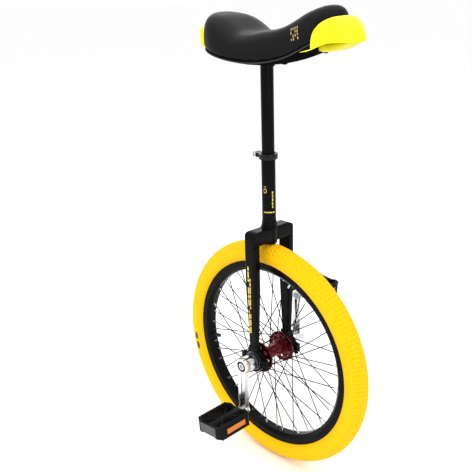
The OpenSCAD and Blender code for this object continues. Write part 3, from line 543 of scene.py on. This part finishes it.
def rear_bumper():
    rows = []
    for k in range(41):
        a = math.radians(136 + 88 * k / 40)
        end = min(1.0, min(k, 40 - k) / 6)
        out = 14.0 * math.sin(end * math.pi / 2)**0.6
        half_h = 8 + 12.5 * math.sin(end * math.pi / 2)**0.7
        ring = []
        for q in range(20):
            t = 2 * math.pi * q / 20
            c, s = math.cos(t), math.sin(t)
            reach = -0.2 + max(0.0, out * math.copysign(abs(c)**0.7, c)) if c > 0 else -1.5
            ring.append((REAR_MID_X + (REAR_MID_X - REAR_X + reach) * math.cos(a),
                         (REAR_HALF + reach * 0.55) * math.sin(a),
                         SADDLE_Z + 50 + half_h * math.copysign(abs(s)**0.75, s)))
        rows.append(ring)
    piece = add_mesh("bumper_rear_shell", *skin(rows, cap_ends=True))
    face_outwards(piece)
    finish_piece(piece, "seat", "bumper_yellow", replaces=["rear_bumper"])


# ---- frame welds ----
def weld_ring(name, centre, radius, bead, body, ripples=40):
    """A weld bead round a vertical tube."""
    rows = []
    draw = random.Random(7)
    for k in range(ripples * 3):
        a = 2 * math.pi * k / (ripples * 3)
        r = bead * (1 + 0.10 * math.cos(ripples * a) + draw.uniform(-0.03, 0.03))
        rows.append([(centre[0] + (radius + r * math.cos(t)) * math.cos(a),
                      centre[1] + (radius + r * math.cos(t)) * math.sin(a),
                      centre[2] + 0.9 * r * math.sin(t))
                     for t in (2 * math.pi * q / 10 for q in range(10))])
    piece = add_mesh(name, *skin(rows, wrap_rows=True))
    face_outwards(piece)
    return finish_piece(piece, body, "frame_paint")


# The socket's section, from the bottom of its bore round the outside to the top: height and radius
SOCKET = [(505.5, 13.9), (505.5, 14.8), (506.2, 15.8), (507.5, 16.2), (541, 16.2), (546, 15.9), (552, 14.9),
          (556, 14.35), (556, 13.9)]


def crown_socket():
    """The seat tube's thick foot, which stands proud of the crown, with a weld fillet above it."""
    rows = []
    turns = [2 * math.pi * k / 64 for k in range(64)]
    for z, r in SOCKET:
        rows.append([(r * math.cos(t), r * math.sin(t), z) for t in turns])
    piece = add_mesh("crown_socket", *skin(rows, wrap_rows=True))
    face_outwards(piece)
    finish_piece(piece, "frame", "frame_paint")


# ---- pedals ----
def soft_box(name, low, high, edge):
    """A box with rounded edges between two corners."""
    corners = [(x, y, z) for x in (low[0], high[0]) for y in (low[1], high[1]) for z in (low[2], high[2])]
    piece = add_mesh(name, corners, [(0, 1, 3, 2), (4, 6, 7, 5), (0, 4, 5, 1), (2, 3, 7, 6), (0, 2, 6, 4),
                                     (1, 5, 7, 3)], False)
    face_outwards(piece)
    bevel = piece.modifiers.new("rounded", "BEVEL")
    bevel.width, bevel.segments = edge * MM, 2
    apply_modifiers(piece)
    return piece


TOOTH_COUNT, TOOTH_IN = 11, 3.4
TOOTH_HALF_X, TOOTH_HALF_Y = 2.6, 1.5
TOOTH_SINK, TOOTH_RISE = 1.0, 1.3
PLATE_MARGIN_X, PLATE_MARGIN_Z, PLATE_T = 15, 3, 1.2
STUD_COLUMNS, STUD_RANKS, STUD_HALF = 15, 7, 1.15
STUD_CLEAR_R = 8.5
PRISM, PRISM_RISE = 3, 0.8


def pyramid(name, foot, tip):
    """A pyramid on four corners given in order round its foot."""
    faces = [(0, 1, 4), (1, 2, 4), (2, 3, 4), (3, 0, 4), (3, 2, 1, 0)]
    return add_mesh(name, [*foot, tip], faces, False)


def pedal_teeth(near, out, z_mid):
    teeth = []
    for k in range(TOOTH_COUNT):
        y = near + (out - near) * (k + 1.0) / (TOOTH_COUNT + 1)
        for across in (-1, 1):
            for top in (-1, 1):
                x, z = across * (PEDAL_HALF_X - TOOTH_IN), z_mid + top * PEDAL_HALF_Z
                ends = sorted((z - top * TOOTH_SINK, z + top * TOOTH_RISE))
                teeth.append(soft_box("tooth", (x - TOOTH_HALF_X, y - TOOTH_HALF_Y, ends[0]),
                                      (x + TOOTH_HALF_X, y + TOOTH_HALF_Y, ends[1]), 0.5))
    return teeth


def pedal_plate(facing, out, z_mid):
    """The outer end plate, with studs in rows all over it but for the cap in its middle."""
    ends = sorted((out, out + facing * PLATE_T))
    half_x, half_z = PEDAL_HALF_X - PLATE_MARGIN_X, PEDAL_HALF_Z - PLATE_MARGIN_Z
    plate = [soft_box("plate", (-half_x, ends[0], z_mid - half_z), (half_x, ends[1], z_mid + half_z), 0.5)]
    r, foot_y, tip_y = STUD_HALF, out + facing * 1.1, out + facing * 2.0
    for i in range(STUD_COLUMNS):
        for j in range(STUD_RANKS):
            x = (half_x - 2.5) * (2 * i / (STUD_COLUMNS - 1) - 1)
            z = z_mid + (half_z - 2) * (2 * j / (STUD_RANKS - 1) - 1)
            if math.hypot(x, z - z_mid) < STUD_CLEAR_R:
                continue
            foot = [(x - r, foot_y, z), (x, foot_y, z - r), (x + r, foot_y, z), (x, foot_y, z + r)]
            plate.append(pyramid("stud", foot, (x, tip_y, z)))
    return plate


def pedal_lenses(y_mid, z_mid):
    """Prisms over both reflectors, and the frames round them."""
    y_low, y_high = y_mid - LENS_HALF_Y, y_mid + LENS_HALF_Y
    z_low, z_high = z_mid - LENS_HALF_Z, z_mid + LENS_HALF_Z
    lenses, frames = [], []
    for across in (-1, 1):
        face = across * PEDAL_HALF_X
        for i in range(int((y_high - y_low - 4) / PRISM)):
            for j in range(int((z_high - z_low - 3) / PRISM)):
                y, z = y_low + 2 + PRISM * i, z_low + 1.5 + PRISM * j
                foot = [(face, y, z), (face, y + PRISM, z),
                        (face, y + PRISM, z + PRISM), (face, y, z + PRISM)]
                tip = (face + across * PRISM_RISE, y + PRISM / 2, z + PRISM / 2)
                lenses.append(pyramid("prism", foot, tip))
        ends = sorted((face - across, face + across * 1.3))
        sides = ((y_low - 1.5, y_high + 1.5, z_high - 1, z_high + 1.2),
                 (y_low - 1.5, y_high + 1.5, z_low - 1.2, z_low + 1),
                 (y_low - 1.5, y_low + 1, z_low - 1, z_high + 1),
                 (y_high - 1, y_high + 1.5, z_low - 1, z_high + 1))
        for y0, y1, z0, z1 in sides:
            frames.append(soft_box("frame_side", (ends[0], y0, z0), (ends[1], y1, z1), 0.4))
    return lenses, frames


def pedal_details(side):
    """Grip teeth, the outer end plate and the reflectors' lenses of one pedal."""
    hand, facing = ("right", -1) if side < 0 else ("left", 1)
    low, high = (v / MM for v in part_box("pedal_body_" + hand))
    near, out = (high.y, low.y) if side < 0 else (low.y, high.y)
    z_mid = AXLE_Z + facing * CRANK_LEN
    centre = Vector((0, 0, z_mid)) * MM
    tilt = (Matrix.Translation(centre) @ Matrix.Rotation(math.radians(PEDAL_TILT[hand]), 4, "Y")
            @ Matrix.Translation(-centre))

    def add(name, pieces, slot, material=None):
        piece = join(name + hand, pieces)
        face_outwards(piece)
        piece.data.transform(tilt)
        finish_piece(piece, "pedal_" + hand, slot, material)

    add("pedal_teeth_", pedal_teeth(near, out, z_mid), "pedal_plastic")
    add("pedal_end_plate_", pedal_plate(facing, out, z_mid), "pedal_plastic", PLATE_GREY)
    lenses, frames = pedal_lenses((low.y + high.y) / 2, z_mid)
    add("reflector_lens_", lenses, "reflector_amber")
    add("reflector_frame_", frames, "pedal_plastic")


# ---- decals ----
BARS_TOP, BARS_BOTTOM, BARS_SHIFT = 468.0, 318, 2


def bars_on_leg():
    """Generic slanted bars down the outer face of the right leg."""
    pieces, z = [], BARS_TOP
    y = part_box("fork_leg_right")[0].y / MM - 0.12
    draw = random.Random(3)
    while z > BARS_BOTTOM:
        length = draw.choice((6, 8, 11, 14))
        for side in (-1, 1):
            if draw.random() < 0.25:
                continue
            x0, x1 = (0.6, 4.2) if side > 0 else (-4.4, -0.6)
            lean = 1.6 * side
            grow = 1 - 0.25 * (BARS_TOP - z) / 160
            x0, x1 = x0 * grow - BARS_SHIFT, x1 * grow - BARS_SHIFT
            corners = [(x0, y, z), (x1, y, z + lean), (x1, y, z - length + lean), (x0, y, z - length)]
            pieces.append(add_mesh("bar", corners, [(0, 1, 2, 3)], False))
        z -= length + 2.4
    finish_piece(join("decal_leg_bars", pieces), "frame", "frame_paint", INK)


def patch_on_tube(name, centre_deg, z, width, height, radius, steps=6):
    """A small patch of film wrapped round the seat tube."""
    rows = []
    for k in range(steps + 1):
        a = math.radians(centre_deg) + (k / steps - 0.5) * width / radius
        x, y = radius * math.cos(a), radius * math.sin(a)
        rows.append([(x, y, z - height / 2), (x, y, z + height / 2)])
    return add_mesh(name, *skin(rows, wrap_columns=False))


# Just over the seat tube's radius, and where the ring sits round it in degrees
MARK_R = 14.42
RING_AT = -77
RING_Z = 618
# The column of dashes, and the band under it
DASHES_AT, DASHES_TOP, DASHES_BOTTOM = -15, 617.0, 584
BAND_FROM, BAND_TO, BAND_Z = -86.0, -4, 573.5


def tube_decals():
    """Generic marks on the seat tube: a ring, a column of dashes and a broken band under them."""
    r = MARK_R
    ring = []
    for k in range(28):
        t0, t1 = 2 * math.pi * k / 28, 2 * math.pi * (k + 1) / 28
        quad = []
        for t, size in ((t0, 3.6), (t1, 3.6), (t1, 2.6), (t0, 2.6)):
            a = math.radians(RING_AT) + size * math.cos(t) / r
            quad.append((r * math.cos(a), r * math.sin(a), RING_Z + 1.35 * size * math.sin(t)))
        ring.append(add_mesh("arc", quad, [(0, 1, 2, 3)], False))
    pieces = [join("ring", ring), patch_on_tube("stroke", RING_AT, RING_Z + 8.5, 5, 1.0, r)]
    draw = random.Random(5)
    z = DASHES_TOP
    while z > DASHES_BOTTOM:
        height = draw.choice((3.4, 4.6, 6.2))
        turn = DASHES_AT + draw.uniform(-1, 1)
        pieces.append(patch_on_tube("dash", turn, z - height / 2, 2.6, height, r))
        z -= height + 1.7
    a = BAND_FROM
    while a < BAND_TO:
        width = draw.choice((2.2, 3.0, 4.2))
        pieces.append(patch_on_tube("mark", a, BAND_Z + draw.uniform(-0.2, 0.2), width, 2.6, r))
        a += math.degrees((width + 1.1) / r)
    finish_piece(join("decal_seat_tube", pieces), "frame", "frame_paint", INK)


# Where the patch of strokes starts on the pad's side
PATCH_X, PATCH_Z = 100.0, 929.0


def saddle_decal():
    """A generic patch of slanted strokes on the near side of the pad."""
    pad = bpy.data.objects["saddle_pad"]
    tree = BVHTree.FromObject(pad, bpy.context.evaluated_depsgraph_get())
    pieces = []
    draw = random.Random(11)
    for row in range(4):
        for column in range(4):
            if draw.random() < 0.12:
                continue
            x0 = PATCH_X + 4.6 * column + 1.7 * row
            z0 = PATCH_Z - 5.6 * row + 1.3 * column
            long = draw.uniform(3.0, 5.0)
            corners = []
            for dx, dz in ((0, 0), (1.5, -long), (3.0, -long + 0.6), (1.6, 0.6)):
                hit, normal = tree.ray_cast(Vector((x0 + dx, -160, z0 + dz)) * MM, Vector((0, 1, 0)))[:2]
                if hit is None:
                    break
                corners.append(tuple((hit + normal * 0.0004) / MM))
            if len(corners) == 4:
                pieces.append(add_mesh("stroke", corners, [(0, 1, 2, 3)], False))
    finish_piece(join("decal_saddle_patch", pieces), "seat", "saddle_skin", INK_PALE)


def tyre_decals():
    """Two dark ovals on the near sidewall."""
    pieces = []
    for start, span in ((186.0, 5.0), (192.0, 5.0)):
        rows = []
        for k in range(13):
            t = k / 12
            turn = math.radians(start + span * t)
            half = 5.0 * math.sqrt(max(0.0, 1 - (2 * t - 1)**2))
            row = []
            for q in range(5):
                phi = math.radians(-(92 + half * (q / 2 - 1) * 2.2))
                reach = CASING_R + 0.12
                radius = TYRE_R - CASING_R + reach * math.cos(phi)
                row.append((radius * math.cos(turn), reach * math.sin(phi),
                            AXLE_Z + radius * math.sin(turn)))
            rows.append(row)
        pieces.append(add_mesh("oval", *skin(rows, wrap_columns=False)))
    finish_piece(join("decal_tyre_ovals", pieces), "wheel", "tyre_yellow", INK_DARK)


# ---- lights, floor, camera ----
def area_light(name, at, aim, size, power, colour=(1, 1, 1)):
    light = bpy.data.lights.new(name, "AREA")
    light.shape, light.size, light.size_y = "RECTANGLE", size[0], size[1]
    light.energy, light.color = power, colour
    lamp = bpy.data.objects.new(name, light)
    SCENE.collection.objects.link(lamp)
    lamp.location = at
    lamp.rotation_mode = "QUATERNION"
    lamp.rotation_quaternion = (Vector(aim) - Vector(at)).to_track_quat("-Z", "Y")


def stage():
    world = bpy.data.worlds.new("studio")
    world.use_nodes = True
    world.node_tree.nodes["Background"].inputs["Color"].default_value = (1, 1, 1, 1)
    world.node_tree.nodes["Background"].inputs["Strength"].default_value = 1.0
    SCENE.world = world
    SCENE.view_settings.view_transform = "Standard"
    bpy.ops.mesh.primitive_plane_add(size=400, location=(0, 0, -0.0005))
    floor = bpy.context.object
    floor.name = "studio_floor"
    floor.data.materials.append(surface("studio_floor", (0.99, 0.99, 0.99), 0.9, shade=0.005, patch=2,
                                        Specular_IOR_Level=0.1))
    area_light("overhead", (0.2, -0.3, 2.6), (0, 0, 0.4), (3.2, 3.2), 42)
    area_light("right_front", (2.4, -0.8, 1.3), (0, 0, 0.5), (1.6, 2.0), 13)
    area_light("left_front", (-0.8, -2.6, 1.6), (0, 0, 0.5), (1.6, 2.0), 11)
    area_light("behind", (-1.8, 1.8, 1.8), (0, 0, 0.5), (2.0, 2.0), 12)
    camera = bpy.data.objects.new("camera", bpy.data.cameras.new("camera"))
    SCENE.collection.objects.link(camera)
    SCENE.camera = camera
    camera.data.sensor_width, camera.data.lens = 36.0, CAMERA_LENS
    forward = (Vector(CAMERA_LOOKS_AT) - Vector(CAMERA_AT)).normalized()
    right = forward.cross(Vector((0, 0, 1))).normalized()
    up = right.cross(forward)
    r = math.cos(CAMERA_ROLL) * right + math.sin(CAMERA_ROLL) * up
    u = -math.sin(CAMERA_ROLL) * right + math.cos(CAMERA_ROLL) * up
    camera.matrix_world = Matrix.Translation(CAMERA_AT) @ Matrix((r, u, -forward)).transposed().to_4x4()


# ---- CAD nodes ----
# Widths of the rounded edges that Blender adds to machined and moulded CAD nodes
ROUNDED = {"crank_right": 1.4, "crank_left": 1.4, "pedal_body_right": 0.9, "pedal_body_left": 0.9,
           "bearing_holder_right": 0.7, "bearing_holder_left": 0.7, "bearing_cap_right": 0.7,
           "bearing_cap_left": 0.7, "seat_clamp": 0.6, "hub_shell": 0.4, "post_plate": 0.6,
           "crown_tube": 0.8, "saddle_base": 0.6}


def dress_nodes():
    for part in frame["record"]["subparts"]:
        node = NODES[part["node"]]
        node.data.materials.clear()
        node.data.materials.append(SURFACES[part["material_slot"]])
        if part["node"] in ROUNDED:
            weld = node.modifiers.new("weld", "WELD")
            weld.merge_threshold = 0.01 * MM
            edge = node.modifiers.new("edge", "BEVEL")
            edge.width, edge.segments, edge.limit_method = ROUNDED[part["node"]] * MM, 2, "ANGLE"
            edge.angle_limit = math.radians(40)
            edge.harden_normals = True


dress_nodes()
tyre()
saddle_pad()
saddle_trim()
front_bumper()
rear_bumper()
crown_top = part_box("crown_tube")[1].z / MM
weld_ring("weld_crown_top", (0, 0, crown_top), 16.2, 1.8, "frame")
crown_socket()
pedal_details(-1)
pedal_details(1)
bars_on_leg()
tube_decals()
saddle_decal()
tyre_decals()
stage()
